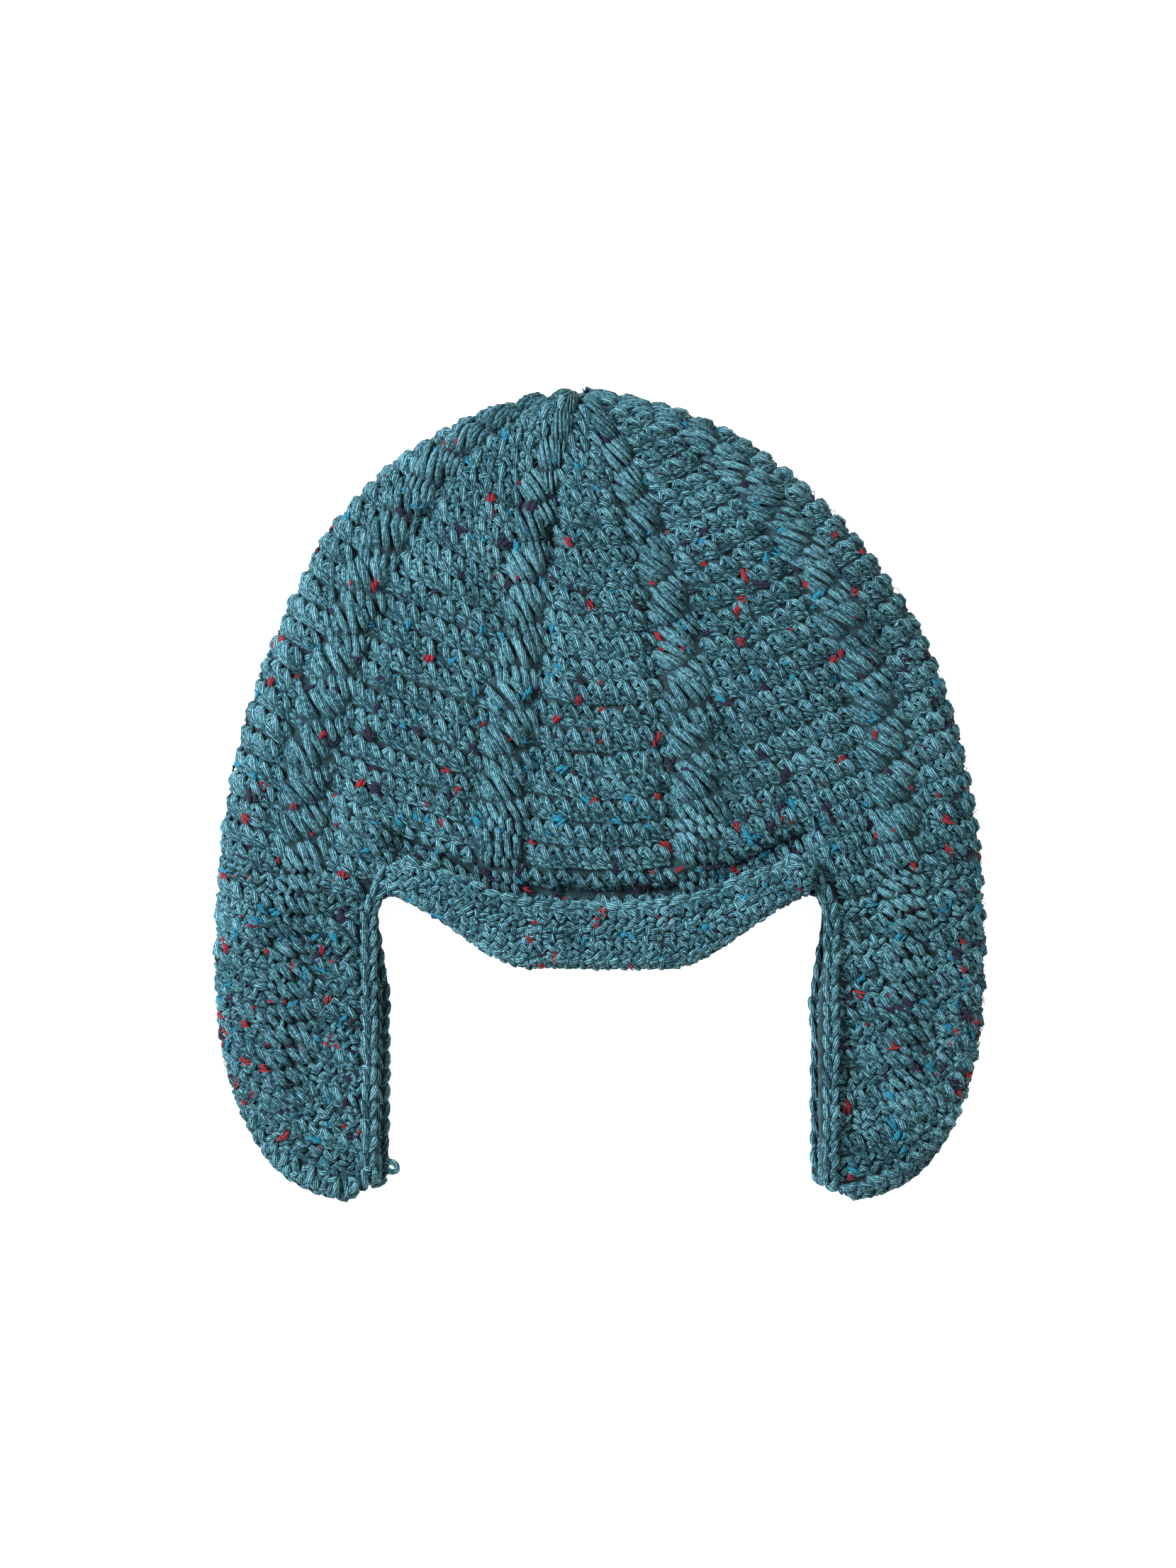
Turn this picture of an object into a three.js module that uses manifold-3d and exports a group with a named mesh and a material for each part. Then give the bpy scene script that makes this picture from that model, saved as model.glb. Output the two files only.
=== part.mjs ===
import * as THREE from "three";
import Module from "manifold-3d";

const wasm = await Module();
wasm.setup();

// Sizes are millimetres. The cap lies on its back: +Z up, +Y towards the top of the crown,
// X across, with the brow side uppermost and the two ear flaps pointing to -Y.
const HALF_WIDTH = 137.5;
const WIDEST_Y = -50;
const CROWN_RISE = 193.75;
const CROWN_ROUND = 2.08;
const FLAP_TIP_X = 88;
const FLAP_ROUND_Y = -55;
const FLAP_DROP = 88.75;
const FLAP_ROUND = 2.3;
const TOP_LEAN = -5.5;

// Fabric, and how thick the two layers lie one on the other.
const WALL = 5;
const FOLD_HEIGHT = 12.5;
const FRONT_RISE = 16.5;
const BACK_DROP = 10.3;
const FLAP_FRONT_RISE = 9;
const FOLD_RADIUS = 14;
const PILLOW_REACH = 55;
const FOLD_SHARE = 0.8;

// Rows run round the crown from the top centre to the hem, then on down the ear flaps.
const CROWN_LENGTH = 229;
const FRONT_HEM_Y = -61;
const FRONT_TOP_SQUEEZE = 25.25;
const BACK_HEM_Y = -41;
const BACK_TOP_SQUEEZE = 45.25;
const FLAP_ROWS_LENGTH = 118;

// Eight cables of four stitches, nine stitches of plain work between them.
const STITCHES_ROUND = 104;
const CABLES = 8;
const CABLE_HALF = 2;
const CABLE_HEIGHT = 3;
const CABLE_HEIGHT_UNDER = 2.2;
const CROSSING = 19;
const STITCH_TURN = 360 / STITCHES_ROUND;
const FLAP_START = 22.5 + 8 * STITCH_TURN;

// Brow flap and chain edging.
const BROW_HALF_TURN = 47;
const BROW_LIFT = 3.4;
const BROW_HEIGHT = 24;
const BROW_END_DROP = 9;
const EDGING_RADIUS = 2.6;
const GAP = 0.3;
const ROLL_GAP = 1.1;

const ROWS = 28;
const INNER_ROWS = 10;
const FLAP_ROWS = 14;

const clamp = (v) => Math.min(1, Math.max(0, v));
const ease = (v) => clamp(v) ** 2 * (3 - 2 * clamp(v));
const mix = (a, b, k) => a + (b - a) * k;

// Half of the outline seen from above, from the top centre down the side to the tip of the flap.
const outlinePoints = [];
for (let i = 0; i <= 240; i++) {
  const a = (Math.PI / 2) * (1 - i / 240);
  outlinePoints.push([
    HALF_WIDTH * Math.cos(a) ** (2 / CROWN_ROUND),
    WIDEST_Y + CROWN_RISE * Math.sin(a) ** (2 / CROWN_ROUND),
  ]);
}
for (let i = 0; i <= 160; i++) {
  const a = (Math.PI / 2) * (i / 160);
  outlinePoints.push([
    FLAP_TIP_X + (HALF_WIDTH - FLAP_TIP_X) * Math.cos(a) ** (2 / FLAP_ROUND),
    FLAP_ROUND_Y - FLAP_DROP * Math.sin(a) ** (2 / FLAP_ROUND),
  ]);
}
const outlineAt = [0];
for (let i = 1; i < outlinePoints.length; i++) {
  const [x0, y0] = outlinePoints[i - 1];
  const [x1, y1] = outlinePoints[i];
  outlineAt.push(outlineAt[i - 1] + Math.hypot(x1 - x0, y1 - y0));
}
const OUTLINE_LENGTH = outlineAt[outlineAt.length - 1];

function outline(length) {
  let i = outlineAt.findIndex((s) => s >= length);
  if (i < 1) i = length <= 0 ? 1 : outlineAt.length - 1;
  const k = (length - outlineAt[i - 1]) / (outlineAt[i] - outlineAt[i - 1] || 1);
  const [x0, y0] = outlinePoints[i - 1];
  const [x1, y1] = outlinePoints[i];
  return [mix(x0, x1, k), mix(y0, y1, k)];
}

// Distance from a point of the plan to the outline, measured inwards.
function inset(x, y) {
  const upper = y > WIDEST_Y;
  const round = upper ? CROWN_ROUND : FLAP_ROUND;
  const acrossSize = upper ? HALF_WIDTH : HALF_WIDTH - FLAP_TIP_X;
  const alongSize = upper ? CROWN_RISE : FLAP_DROP;
  const across = Math.max(upper ? Math.abs(x) : Math.abs(x) - FLAP_TIP_X, 1e-6) / acrossSize;
  const along = Math.max(upper ? y - WIDEST_Y : FLAP_ROUND_Y - y, 1e-6) / alongSize;
  const reach = (across ** round + along ** round) ** (1 / round);
  const slope = Math.hypot(
    (across / reach) ** (round - 1) / acrossSize,
    (along / reach) ** (round - 1) / alongSize,
  );
  return Math.max(0, 1 - reach) / slope;
}

// The layers bulge away from the fold like a soft cushion.
function cushion(x, y) {
  const d = inset(x, y);
  const k = clamp(d / FOLD_RADIUS);
  return FOLD_SHARE * Math.sqrt(1 - (1 - k) ** 2) + (1 - FOLD_SHARE) * ease(d / PILLOW_REACH);
}

// Shallow crease over the middle of the front, and the long dent in the right flap.
function dents(x, y) {
  const crease = 1.6 * Math.exp(-(((y - 17) / 7) ** 2) - (x / 34) ** 4);
  const hollow = 3.2 * Math.exp(-(((x - 92) / 8) ** 2) - ((y + 96) / 30) ** 4);
  return crease + hollow;
}

function height(x, y, front) {
  if (!front) return FOLD_HEIGHT - BACK_DROP * cushion(x, y);
  const flap = ease((-15 - y) / 55) * ease((Math.abs(x) - 60) / 16);
  const rise = mix(FRONT_RISE, FLAP_FRONT_RISE, flap);
  return FOLD_HEIGHT + rise * cushion(x, y) - dents(x, y);
}

// The top of the cap leans a little to the left.
const lean = (y) => TOP_LEAN * ease((y - 50) / 75);

// How a row climbs from the centre line to the side, across = 0 to 1.
function climb(across, down, front) {
  if (!front) return across ** 2.8;
  const arc = across ** 1.7;
  const hem = 0.62 * ease((across - 0.17) / 0.44) + 0.38 * clamp((across - 0.55) / 0.45);
  return mix(arc, hem, ease((down - 0.8) / 0.2));
}

function crownPlan(across, down, front) {
  const [halfX, sideY] = outline(down * CROWN_LENGTH);
  const up = 1 - down;
  const frontY = FRONT_HEM_Y + CROWN_LENGTH * up - FRONT_TOP_SQUEEZE * up ** 4;
  const backY = BACK_HEM_Y + CROWN_LENGTH * up - BACK_TOP_SQUEEZE * up ** 4;
  const middleY = front ? frontY : backY;
  const y = mix(middleY, sideY, climb(across, down, front));
  return [halfX * across, y];
}

// Share of the half ring walked along the fabric, turned into a share of the plan width.
const acrossCache = new Map();
function acrossAt(share, down, front) {
  const key = down.toFixed(5) + front;
  if (!acrossCache.has(key)) {
    const walk = [[0, 0]];
    let last = null;
    for (let i = 0; i <= 60; i++) {
      const across = Math.sin((Math.PI / 2) * (i / 60));
      const [x, y] = crownPlan(across, down, front);
      const here = new THREE.Vector3(x, y, height(x, y, front));
      if (last) walk.push([walk[i - 1][0] + here.distanceTo(last), across]);
      last = here;
    }
    acrossCache.set(key, walk);
  }
  const walk = acrossCache.get(key);
  const target = share * walk[60][0];
  const i = Math.max(1, walk.findIndex((w) => w[0] >= target - 1e-9));
  const step = walk[i][0] - walk[i - 1][0] || 1;
  return mix(walk[i - 1][1], walk[i][1], clamp((target - walk[i - 1][0]) / step));
}

// A point of the smooth outer face of the crown: turn 0 is the front centre, 180 the back centre.
function crownFace(turn, down) {
  const around = Math.abs(turn);
  const front = around <= 90;
  const share = (front ? around : 180 - around) / 90;
  const across = acrossAt(share, down, front);
  const [x, y] = crownPlan(across, down, front);
  return new THREE.Vector3(Math.sign(turn) * x + lean(y), y, height(Math.sign(turn) * x, y, front));
}

// The ear flap carries on from the hem row; fold = 0 at the side, 1 and -1 at its two free edges.
function flapFace(fold, down, side) {
  const front = fold >= 0;
  const turn = mix(90, FLAP_START, Math.abs(fold));
  const across = acrossAt(turn / 90, 1, front);
  const start = acrossAt(FLAP_START / 90, 1, front);
  const width = (across - start) / (1 - start);
  const row = crownPlan(across, 1, front);
  const corner = crownPlan(start, 1, front);
  const tip = front ? [79.5, -131.5] : [77, -132];
  const bow = front ? 5.5 * Math.sin(Math.PI * clamp(down * 0.92)) ** 0.7 : 2.5 * Math.sin(Math.PI * down);
  const inner = [mix(corner[0], tip[0], down) + bow, mix(corner[1], tip[1], down)];
  const outer = outline(mix(CROWN_LENGTH, OUTLINE_LENGTH - 3, down));
  const top = outline(CROWN_LENGTH);
  const keep = (1 - down) ** 2;
  const x = mix(inner[0], outer[0], width) + keep * (row[0] - mix(corner[0], top[0], width));
  const y = mix(inner[1], outer[1], width) + keep * (row[1] - mix(corner[1], top[1], width));
  return new THREE.Vector3(side * x, y, height(side * x, y, front));
}

function normalOf(face, u, v) {
  const e = 0.004;
  const du = face(u + e * 30, v).sub(face(u - e * 30, v));
  const dv = face(u, Math.min(v + e, 1)).sub(face(u, Math.max(v - e, 0.002)));
  return dv.cross(du).normalize();
}

// Height of the cable at a place: slanting lobes, each from its upper left to its lower right.
function cable(turn, distance) {
  const spacing = 360 / CABLES;
  const offset = ((((turn % spacing) + spacing) % spacing) - spacing / 2) / STITCH_TURN;
  const k = offset / CABLE_HALF;
  if (Math.abs(k) >= 1) return 0;
  const lobe = 0.62 + 0.38 * Math.cos(2 * Math.PI * (distance / CROSSING - k / 2));
  const size = Math.abs(turn) <= 90 ? CABLE_HEIGHT : CABLE_HEIGHT_UNDER;
  return size * (1 - k ** 4) * lobe * ease(distance / 40);
}

// Columns of the grid on the right half: five narrow ones over each cable, wider ones between.
const cableSteps = [-2, -1.2, -0.4, 0.4, 1.2, 2];
const cableTurns = [22.5, 67.5, 112.5, 157.5].flatMap((c) => cableSteps.map((s) => c + s * STITCH_TURN));
const browTurns = [0, 7.8, 39.8, 47.8, FLAP_START];
const sideTurns = [80, 85.2, 90, 94.8, 100];
const napeTurns = [180 - FLAP_START, 132.4, 140.5, 172.2, 180];
const rightTurns = [...cableTurns, ...browTurns, ...sideTurns, ...napeTurns].sort((a, b) => a - b);
const leftTurns = rightTurns.filter((t) => t > 0 && t < 180).map((t) => -t).reverse();
const crownTurns = [...leftTurns, ...rightTurns];

const wrap = (turn) => (turn > 180 ? turn - 360 : turn);

// Where the crown stops: at the brow it leaves room for the roll of the turned-up flap,
// at the nape for the edging, and over the ears it meets the flap's first row.
function hemDown(turn) {
  const around = Math.abs(turn);
  const brow = 1 - ease((around - 48) / 2);
  const nape = ease((around - 180 + FLAP_START) / 2.4);
  const roll = (WALL * 2 + BROW_LIFT) / 2 + ROLL_GAP;
  const back = brow * roll + nape * (EDGING_RADIUS + GAP);
  return 1 - (back + GAP / 2) / CROWN_LENGTH;
}

function toSolid(points, faces) {
  const mesh = new wasm.Mesh({
    numProp: 3,
    vertProperties: new Float32Array(points.flatMap((p) => [p.x, p.y, p.z])),
    triVerts: new Uint32Array(faces.flat()),
  });
  const made = new wasm.Manifold(mesh);
  if (made.volume() > 0) return made;
  mesh.triVerts = new Uint32Array(faces.flatMap(([a, b, c]) => [a, c, b]));
  return new wasm.Manifold(mesh);
}

// Crown: outer face with its cables and plain inner face, closed at the top, joined at the hem.
function buildCrown() {
  const points = [];
  const faces = [];
  const n = crownTurns.length;
  function skin(rows, inner) {
    const pole = crownFace(0.001, 0);
    if (inner) pole.y -= WALL;
    const first = points.push(pole) - 1;
    for (let j = 1; j <= rows; j++) {
      for (const raw of crownTurns) {
        const turn = wrap(raw);
        const down = (j / rows) ** (inner ? 1 : 0.96) * hemDown(turn);
        const smooth = crownFace(turn, down);
        const n0 = normalOf(crownFace, turn, down);
        const lift = inner ? -WALL : cable(turn, down * CROWN_LENGTH);
        points.push(smooth.addScaledVector(n0, lift));
      }
    }
    const at = (i, j) => (j === 0 ? first : first + 1 + (j - 1) * n + (i % n));
    for (let j = 0; j < rows; j++) {
      for (let i = 0; i < n; i++) {
        const a = at(i, j);
        const b = at(i + 1, j);
        const c = at(i + 1, j + 1);
        const d = at(i, j + 1);
        const quad = j === 0 ? [[a, c, d]] : [[a, b, c], [a, c, d]];
        for (const f of quad) faces.push(inner ? [f[0], f[2], f[1]] : f);
      }
    }
    return (i) => at(i, rows);
  }
  const outer = skin(ROWS, false);
  const inner = skin(INNER_ROWS, true);
  for (let i = 0; i < n; i++) {
    faces.push([outer(i), outer(i + 1), inner(i + 1)]);
    faces.push([outer(i), inner(i + 1), inner(i)]);
  }
  return toSolid(points, faces);
}

// A slab with four edges: outer and inner grids of the same size, joined all the way round.
function slab(columns, rows, outerAt, innerAt) {
  const points = [];
  const faces = [];
  for (const place of [outerAt, innerAt]) {
    for (let j = 0; j <= rows; j++) {
      for (let i = 0; i <= columns; i++) points.push(place(i, j));
    }
  }
  const at = (i, j, layer) => layer * (rows + 1) * (columns + 1) + j * (columns + 1) + i;
  for (let j = 0; j < rows; j++) {
    for (let i = 0; i < columns; i++) {
      for (const layer of [0, 1]) {
        const q = [at(i, j, layer), at(i + 1, j, layer), at(i + 1, j + 1, layer), at(i, j + 1, layer)];
        if (layer) q.reverse();
        faces.push([q[0], q[1], q[2]], [q[0], q[2], q[3]]);
      }
    }
  }
  const border = [];
  for (let i = 0; i < columns; i++) border.push([i, 0]);
  for (let j = 0; j < rows; j++) border.push([columns, j]);
  for (let i = columns; i > 0; i--) border.push([i, rows]);
  for (let j = rows; j > 0; j--) border.push([0, j]);
  border.forEach(([i, j], k) => {
    const [p, q] = border[(k + 1) % border.length];
    faces.push([at(p, q, 0), at(i, j, 0), at(i, j, 1)]);
    faces.push([at(p, q, 0), at(i, j, 1), at(p, q, 1)]);
  });
  return toSolid(points, faces);
}

// Ear flap: one sheet folded at the side, a cable down each half. Its columns are the crown's.
const flapTurns = rightTurns.filter((t) => t > FLAP_START - 0.01 && t < 180.01 - FLAP_START);

function flapNormal(fold, down, side) {
  const turn = 90 - (90 - FLAP_START) * fold;
  const e = 0.02;
  const step = (f, d) => flapFace(f, d, side);
  const du = step(Math.min(fold + e, 1), down).sub(step(Math.max(fold - e, -1), down));
  const dv = step(fold, Math.min(down + e, 1)).sub(step(fold, Math.max(down - e, 0)));
  const own = dv.cross(du).normalize().multiplyScalar(-side);
  const crowns = normalOf(crownFace, side * turn, 1 - GAP / CROWN_LENGTH);
  return crowns.lerp(own, ease(down * 4)).normalize();
}

function buildFlap(side) {
  const folds = flapTurns.map((turn) => (90 - turn) / (90 - FLAP_START));
  const place = (inner) => (i, j) => {
    const fold = Math.max(-1, Math.min(1, folds[i]));
    const down = Math.max(j / FLAP_ROWS, (1.5 * GAP) / FLAP_ROWS_LENGTH);
    const turn = 90 - (90 - FLAP_START) * fold;
    const narrow = 1 - ease((down - 0.7) / 0.3);
    const rib = cable(side * turn, CROWN_LENGTH + down * FLAP_ROWS_LENGTH) * narrow;
    const n0 = flapNormal(fold, down, side);
    return flapFace(fold, down, side).addScaledVector(n0, inner ? -WALL : rib);
  };
  return slab(folds.length - 1, FLAP_ROWS, place(false), place(true));
}

const browHeight = (turn) => BROW_HEIGHT - BROW_END_DROP * (Math.abs(turn) / BROW_HALF_TURN) ** 4;

// A place near the brow, up = distance from the fold towards the top, above = height over the crown.
function browPlace(turn, up, above) {
  const down = 1 - up / CROWN_LENGTH;
  const n0 = normalOf(crownFace, turn, Math.min(down, 0.985));
  return crownFace(turn, Math.min(down, 1)).addScaledVector(n0, above);
}

// Brow flap: rolls over the hem and lies up the front of the crown.
function buildBrow() {
  const thick = WALL * 2 + BROW_LIFT;
  const radius = thick / 2;
  const middle = radius - WALL;
  const points = [];
  const faces = [];
  const steps = 22;
  let size = 0;
  for (let i = 0; i <= steps; i++) {
    const turn = mix(-BROW_HALF_TURN, BROW_HALF_TURN, i / steps);
    const tall = browHeight(turn) - 2 * EDGING_RADIUS - GAP;
    const shape = [];
    for (let a = 0; a <= 8; a++) {
      const angle = Math.PI * (a / 8) - Math.PI / 2;
      shape.push([radius - radius * Math.cos(angle), middle + radius * Math.sin(angle)]);
    }
    const top = BROW_LIFT + WALL;
    shape.push([mix(radius, tall, 0.3), top]);
    shape.push([tall - 1, top], [tall, top - 1.2], [tall, BROW_LIFT + 1.2], [tall - 1, BROW_LIFT]);
    shape.push([mix(radius, tall, 0.3), BROW_LIFT], [radius, BROW_LIFT]);
    size = shape.length;
    for (const [up, above] of shape) points.push(browPlace(turn, up, above));
  }
  for (let i = 0; i < steps; i++) {
    for (let k = 0; k < size; k++) {
      const a = i * size + k;
      const b = i * size + ((k + 1) % size);
      faces.push([a, b, b + size], [a, b + size, a + size]);
    }
  }
  const shapeOf = (i) => points.slice(i * size, (i + 1) * size);
  for (const i of [0, steps]) {
    const flat = shapeOf(i).map((p) => new THREE.Vector2(p.y, p.z));
    const ends = THREE.ShapeUtils.triangulateShape(flat, []);
    for (const corner of ends) {
      const ordered = [...corner].sort((a, b) => (i ? a - b : b - a));
      faces.push(ordered.map((c) => c + i * size));
    }
  }
  return toSolid(points, faces);
}

// The line of the edging: brow, right flap, nape, left flap and back to the brow.
function edgingLine() {
  const out = EDGING_RADIUS + GAP;
  const line = [];
  for (let i = -5; i <= 5; i++) {
    const turn = (i / 5) * (BROW_HALF_TURN - 1);
    line.push(browPlace(turn, browHeight(turn) - EDGING_RADIUS, BROW_LIFT + WALL / 2));
  }
  const flapLine = (side) => {
    const half = [];
    const add = (fold, down, outX, outY) => {
      const p = flapFace(fold, down, side);
      p.addScaledVector(flapNormal(fold, down, side), -WALL / 2);
      p.x -= side * outX;
      p.y -= outY;
      half.push(p);
    };
    const edge = [0.07, 0.2, 0.35, 0.5, 0.65, 0.8, 0.92];
    for (const down of edge) add(1, down, out, 0);
    add(1, 1, out * 0.7, out * 0.7);
    add(0.5, 1, out * 0.8, out * 0.6);
    add(0, 1, out * 0.8, out * 0.2);
    add(-0.5, 1, out * 0.8, out * 0.6);
    add(-1, 1, out * 0.7, out * 0.7);
    for (const down of edge.reverse()) add(-1, down, out, 0);
    return side > 0 ? half : half.reverse();
  };
  line.push(...flapLine(1));
  for (let i = 0; i <= 6; i++) {
    const turn = mix(136, 224, i / 6);
    const p = crownFace(wrap(turn), 1);
    line.push(new THREE.Vector3(p.x, p.y, p.z + WALL / 2));
  }
  line.push(...flapLine(-1));
  return new THREE.CatmullRomCurve3(line, true, "centripetal");
}

function tube(curve, radius, steps, sides) {
  const frames = curve.computeFrenetFrames(steps, true);
  const points = [];
  const faces = [];
  for (let i = 0; i < steps; i++) {
    const middle = curve.getPointAt(i / steps);
    for (let k = 0; k < sides; k++) {
      const a = (2 * Math.PI * k) / sides;
      const p = middle.clone().addScaledVector(frames.normals[i], radius * Math.cos(a));
      points.push(p.addScaledVector(frames.binormals[i], radius * Math.sin(a)));
    }
  }
  for (let i = 0; i < steps; i++) {
    for (let k = 0; k < sides; k++) {
      const a = i * sides + k;
      const b = i * sides + ((k + 1) % sides);
      const c = ((i + 1) % steps) * sides + ((k + 1) % sides);
      const d = ((i + 1) % steps) * sides + k;
      faces.push([a, b, c], [a, c, d]);
    }
  }
  return toSolid(points, faces);
}

const line = edgingLine();
const edging = tube(line, EDGING_RADIUS, 150, 6);
const groove = tube(line, EDGING_RADIUS + GAP + 0.1, 150, 6);

function largest(solid) {
  return solid.decompose().sort((a, b) => b.volume() - a.volume())[0];
}

const crown = largest(buildCrown().subtract(groove));
const flapPiece = (side) => largest(buildFlap(side).subtract(groove));
const brow = largest(buildBrow().subtract(groove));

const pieces = [
  { name: "crown", solid: crown, colour: 0x4c8790 },
  { name: "ear_flap_left", solid: flapPiece(-1), colour: 0x4c8790 },
  { name: "ear_flap_right", solid: flapPiece(1), colour: 0x4c8790 },
  { name: "brow_flap", solid: brow, colour: 0x4a8189 },
  { name: "edging", solid: edging, colour: 0x568f97 },
];

const group = new THREE.Group();
for (const { name, solid, colour } of pieces) {
  const { vertProperties, triVerts, numProp } = solid.getMesh();
  const position = [];
  for (const v of triVerts) {
    for (let c = 0; c < 3; c++) position.push(vertProperties[v * numProp + c]);
  }
  const geometry = new THREE.BufferGeometry();
  geometry.setAttribute("position", new THREE.Float32BufferAttribute(position, 3));
  geometry.computeVertexNormals();
  const material = new THREE.MeshStandardMaterial({ color: colour, roughness: 0.95, metalness: 0 });
  const mesh = new THREE.Mesh(geometry, material);
  mesh.name = name;
  group.add(mesh);
}

// Sit the lowest point on the floor and centre the cap over the origin.
const box = new THREE.Box3().setFromObject(group);
const settle = new THREE.Vector3(-(box.min.x + box.max.x) / 2, -(box.min.y + box.max.y) / 2, -box.min.z);
for (const mesh of group.children) mesh.geometry.translate(settle.x, settle.y, settle.z);

export default group;
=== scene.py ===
import math

import bpy
import numpy as np
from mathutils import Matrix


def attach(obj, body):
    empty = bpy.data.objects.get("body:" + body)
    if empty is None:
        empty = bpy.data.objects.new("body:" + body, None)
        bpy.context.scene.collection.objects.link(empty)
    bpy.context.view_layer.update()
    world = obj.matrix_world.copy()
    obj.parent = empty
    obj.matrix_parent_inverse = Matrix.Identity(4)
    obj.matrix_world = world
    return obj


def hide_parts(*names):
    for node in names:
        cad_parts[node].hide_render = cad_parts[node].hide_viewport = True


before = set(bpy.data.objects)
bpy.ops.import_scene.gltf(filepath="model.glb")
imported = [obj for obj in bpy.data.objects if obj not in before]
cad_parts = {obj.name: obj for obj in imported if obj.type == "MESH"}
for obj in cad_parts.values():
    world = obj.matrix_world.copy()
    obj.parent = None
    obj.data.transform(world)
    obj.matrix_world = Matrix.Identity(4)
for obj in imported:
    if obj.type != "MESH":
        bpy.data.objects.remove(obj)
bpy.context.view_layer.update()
bpy.ops.object.select_all(action="DESELECT")
rng = np.random.default_rng(41)

# Crown: one tube of thick wool worked in rounds from the top down, closed at the top and left
# open at the brow. It lies flat on its back, so a front and a back layer meet in a soft fold
# along each side. This section gives its form, in millimetres, and its backing fabric.
HALF_WIDTH, WIDEST_Y, CROWN_RISE, CROWN_ROUND = 137.5, -50.0, 193.75, 2.08
FLAP_TIP_X, FLAP_ROUND_Y, FLAP_DROP, FLAP_ROUND = 88.0, -55.0, 88.75, 2.3
CROWN_LENGTH, FLAP_LENGTH = 229.0, 116.0
WALL, FOLD_HEIGHT = 5.0, 12.5
STITCH_TURN = 360 / 104
CABLE_TURN = 45
FLAP_START = CABLE_TURN / 2 + 8 * STITCH_TURN
ROWS = 27
ROW = CROWN_LENGTH / ROWS


def ease(value):
    value = np.clip(value, 0, 1)
    return value * value * (3 - 2 * value)


def mix(a, b, share):
    return a + (b - a) * share


quarter = np.linspace(math.pi / 2, 0, 241)
upper_side = np.stack([
    HALF_WIDTH * np.clip(np.cos(quarter), 0, 1) ** (2 / CROWN_ROUND),
    WIDEST_Y + CROWN_RISE * np.sin(quarter) ** (2 / CROWN_ROUND)], 1)
quarter = np.linspace(0, math.pi / 2, 161)
lower_side = np.stack([
    FLAP_TIP_X + (HALF_WIDTH - FLAP_TIP_X) * np.clip(np.cos(quarter), 0, 1) ** (2 / FLAP_ROUND),
    FLAP_ROUND_Y - FLAP_DROP * np.sin(quarter) ** (2 / FLAP_ROUND)], 1)
side_line = np.concatenate([upper_side, lower_side])
side_at = np.concatenate([[0], np.cumsum(np.hypot(*np.diff(side_line, axis=0).T))])
SIDE_LENGTH = side_at[-1]


def outline(length):
    return np.stack([np.interp(length, side_at, side_line[:, k]) for k in (0, 1)], -1)


def inset(x, y):
    upper = y > WIDEST_Y
    power = np.where(upper, CROWN_ROUND, FLAP_ROUND)
    wide = np.where(upper, HALF_WIDTH, HALF_WIDTH - FLAP_TIP_X)
    tall = np.where(upper, CROWN_RISE, FLAP_DROP)
    across = np.maximum(np.where(upper, np.abs(x), np.abs(x) - FLAP_TIP_X), 1e-6) / wide
    along = np.maximum(np.where(upper, y - WIDEST_Y, FLAP_ROUND_Y - y), 1e-6) / tall
    reach = (across ** power + along ** power) ** (1 / power)
    slope = np.hypot((across / reach) ** (power - 1) / wide, (along / reach) ** (power - 1) / tall)
    return np.maximum(0, 1 - reach) / slope


CUSHION_REACH, CROWN_LOFT, FLAP_LOFT, BACK_LOFT = 14, 16.5, 9, 10.3


def height(x, y, front):
    gap = inset(x, y)
    near = np.clip(gap / CUSHION_REACH, 0, 1)
    cushion = 0.8 * np.sqrt(1 - (1 - near) ** 2) + 0.2 * ease(gap / 55)
    over_flap = ease((-15 - y) / 55) * ease((np.abs(x) - 60) / 16)
    rise = mix(CROWN_LOFT, FLAP_LOFT, over_flap)
    crease = 2.6 * np.exp(-((y - 13) / 4.5) ** 2 - ((x - 2) / 24) ** 4)
    crease = crease + 1.6 * np.exp(-((y - 28) / 5) ** 2 - (x / 22) ** 4)
    hollow = 5.0 * np.exp(-((x - 89) / 9) ** 2 - ((y + 96) / 32) ** 4)
    ripple = 0.55 * np.sin(x / 8.5 + 2 * np.sin(y / 23)) * np.sin(y / 10 + 1.6 * np.sin(x / 19)) * near
    over = FOLD_HEIGHT + rise * cushion - crease - hollow + ripple
    return np.where(front, over, FOLD_HEIGHT - BACK_LOFT * cushion)


FRONT_HEM_Y, FRONT_TOP_PULL = -61, 25.25
BACK_HEM_Y, BACK_TOP_PULL = -41, 45.25


def crown_plan(across, down, front):
    side = outline(down * CROWN_LENGTH)
    up = 1 - down
    front_middle = FRONT_HEM_Y + CROWN_LENGTH * up - FRONT_TOP_PULL * up ** 4
    back_middle = BACK_HEM_Y + CROWN_LENGTH * up - BACK_TOP_PULL * up ** 4
    middle = np.where(front, front_middle, back_middle)
    hem = 0.62 * ease((across - 0.17) / 0.44) + 0.38 * np.clip((across - 0.55) / 0.45, 0, 1)
    climb = np.where(front, mix(across ** 1.7, hem, ease((down - 0.8) / 0.2)), across ** 2.8)
    return side[..., 0] * across, mix(middle, side[..., 1], climb)


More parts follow.
